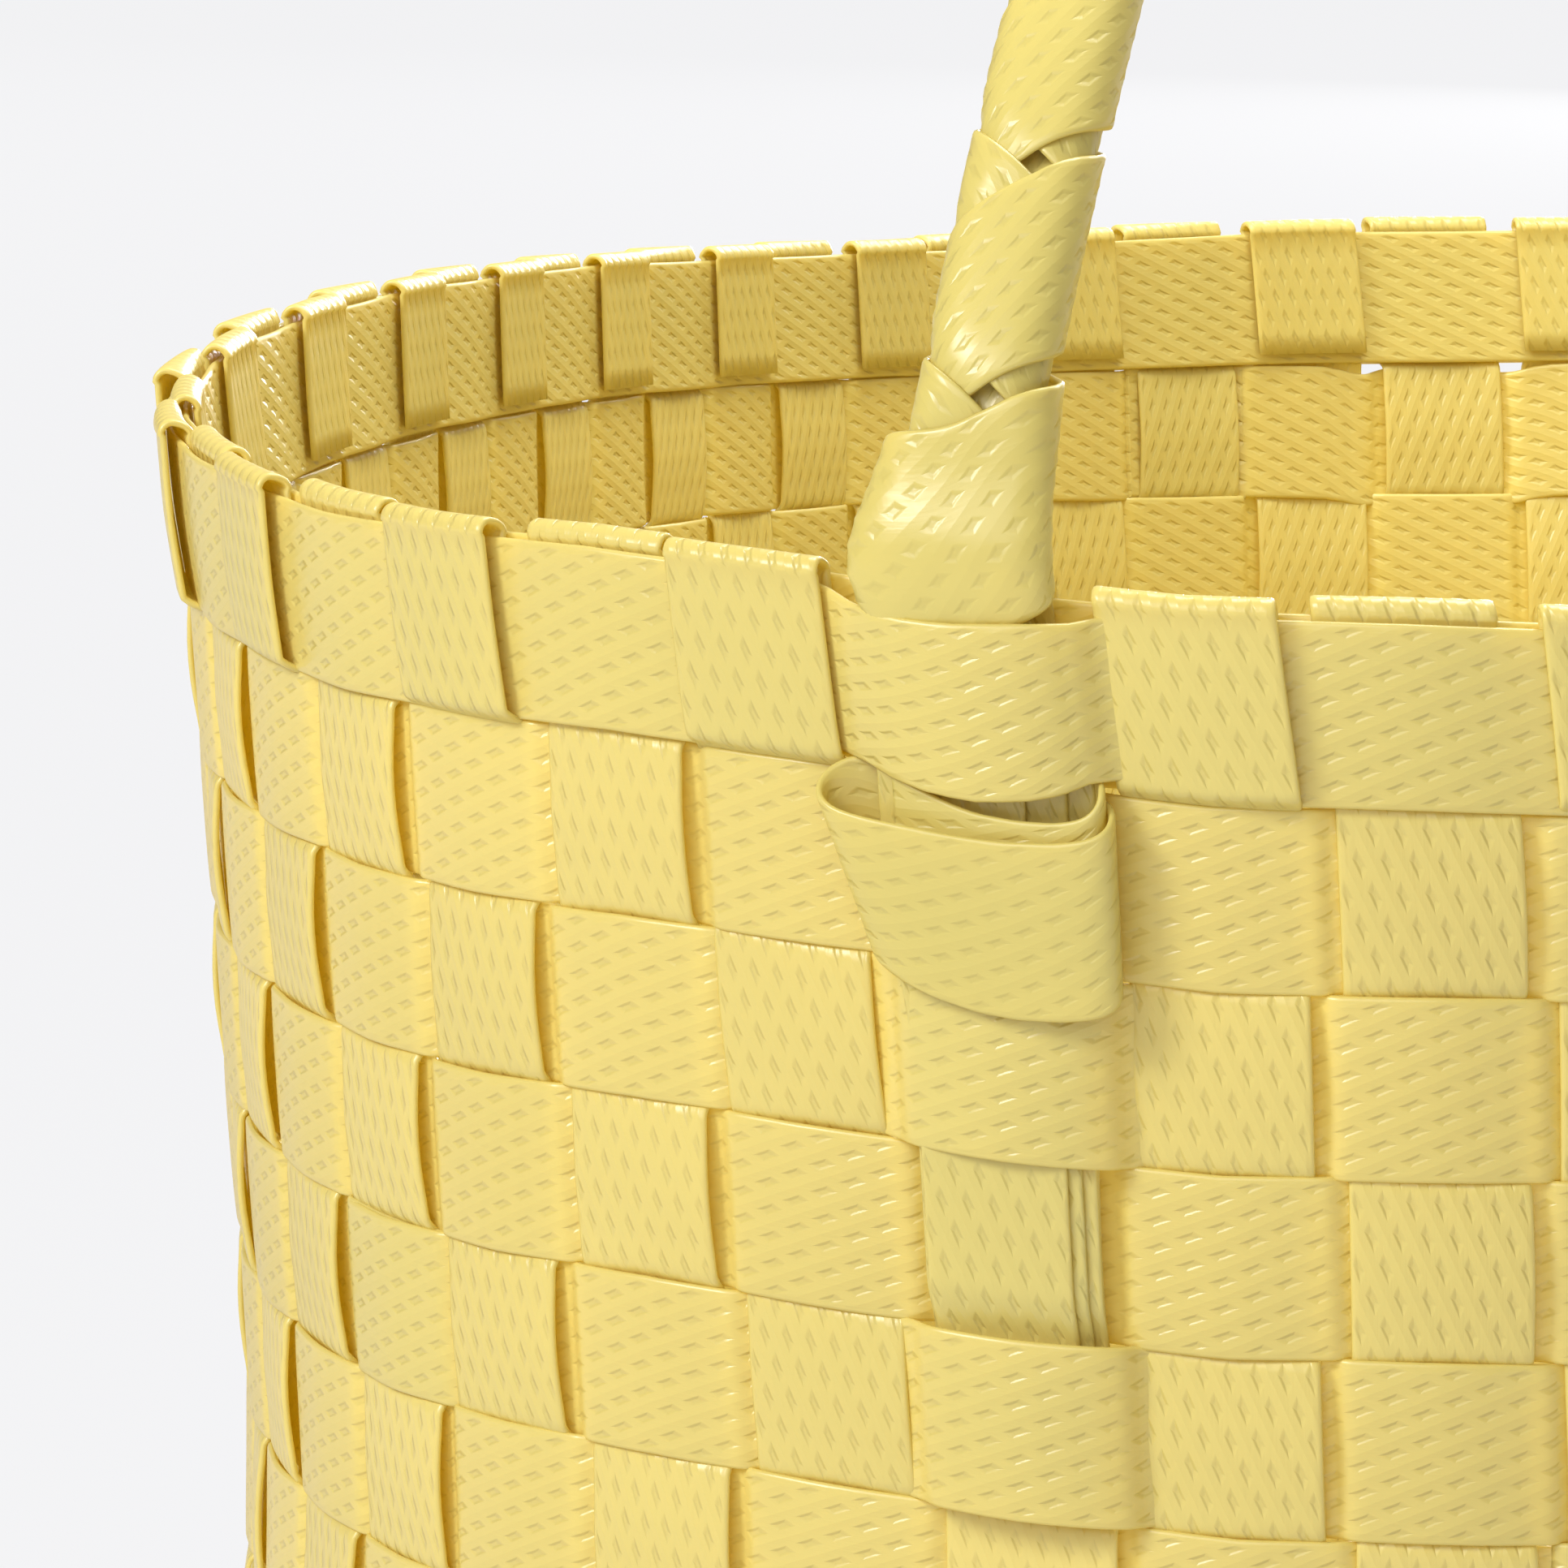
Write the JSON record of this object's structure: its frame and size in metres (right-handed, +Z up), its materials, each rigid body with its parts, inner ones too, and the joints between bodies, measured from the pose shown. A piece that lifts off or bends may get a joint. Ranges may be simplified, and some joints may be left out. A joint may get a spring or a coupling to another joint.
{
  "type": "easter basket",
  "caption": "Oval open basket woven from embossed plastic strapping, with a lengthwise wrapped bail handle.",
  "frame": {"origin": "middle of the basket's underside, on the surface that it stands on", "axes": "+Z up; Y along the oval's long axis, with a handle foot at each end; X across the basket"},
  "size_m": [0.1992, 0.3444, 0.2447],
  "materials": {
    "upright_strap": "embossed semi-matt yellow polypropylene strap",
    "band_strap": "embossed semi-matt yellow polypropylene strap",
    "handle_strap": "embossed semi-matt yellow polypropylene strap, shaded inside the windings",
    "handle_wrap": "embossed semi-matt yellow polypropylene strap"
  },
  "bodies": {
    "basket": {"handle_tail_far_1": "handle_strap", "handle_tail_far_2": "handle_strap", "handle_tail_far_3": "handle_strap", "handle_tail_near_1": "handle_strap", "handle_tail_near_2": "handle_strap", "handle_tail_near_3": "handle_strap", "lock_loop_far": "handle_wrap", "lock_loop_near": "handle_wrap", "rim_band_inner": "band_strap", "rim_band_outer": "band_strap", "row_band_10": "band_strap", "row_band_11": "band_strap", "row_band_2": "band_strap", "row_band_3": "band_strap", "row_band_4": "band_strap", "row_band_5": "band_strap", "row_band_6": "band_strap", "row_band_7": "band_strap", "row_band_8": "band_strap", "row_band_9": "band_strap", "strap_cross_1": "upright_strap", "strap_cross_10": "upright_strap", "strap_cross_11": "upright_strap", "strap_cross_12": "upright_strap", "strap_cross_13": "upright_strap", "strap_cross_14": "upright_strap", "strap_cross_15": "upright_strap", "strap_cross_16": "upright_strap", "strap_cross_17": "upright_strap", "strap_cross_2": "upright_strap", "strap_cross_3": "upright_strap", "strap_cross_4": "upright_strap", "strap_cross_5": "upright_strap", "strap_cross_6": "upright_strap", "strap_cross_7": "upright_strap", "strap_cross_8": "upright_strap", "strap_cross_9": "upright_strap", "strap_lengthwise_1": "upright_strap", "strap_lengthwise_10": "upright_strap", "strap_lengthwise_11": "upright_strap", "strap_lengthwise_12": "upright_strap", "strap_lengthwise_13": "upright_strap", "strap_lengthwise_2": "upright_strap", "strap_lengthwise_3": "upright_strap", "strap_lengthwise_4": "upright_strap", "strap_lengthwise_5": "upright_strap", "strap_lengthwise_6": "upright_strap", "strap_lengthwise_7": "upright_strap", "strap_lengthwise_8": "upright_strap", "strap_lengthwise_9": "upright_strap"},
    "handle": {"handle_core_1": "handle_strap", "handle_core_2": "handle_strap", "handle_core_3": "handle_strap", "handle_core_4": "handle_strap", "handle_wrap_over": "handle_wrap", "handle_wrap_under": "handle_wrap"}
  },
  "joints": [
    {"name": "handle_tilt", "type": "hinge", "parent": "basket", "child": "handle", "pos_m": [0, 0, 0.1424], "axis": [0, 1, 0], "range_deg": [-25, 25], "stiffness_Nm_per_rad": 0.4}
  ]
}
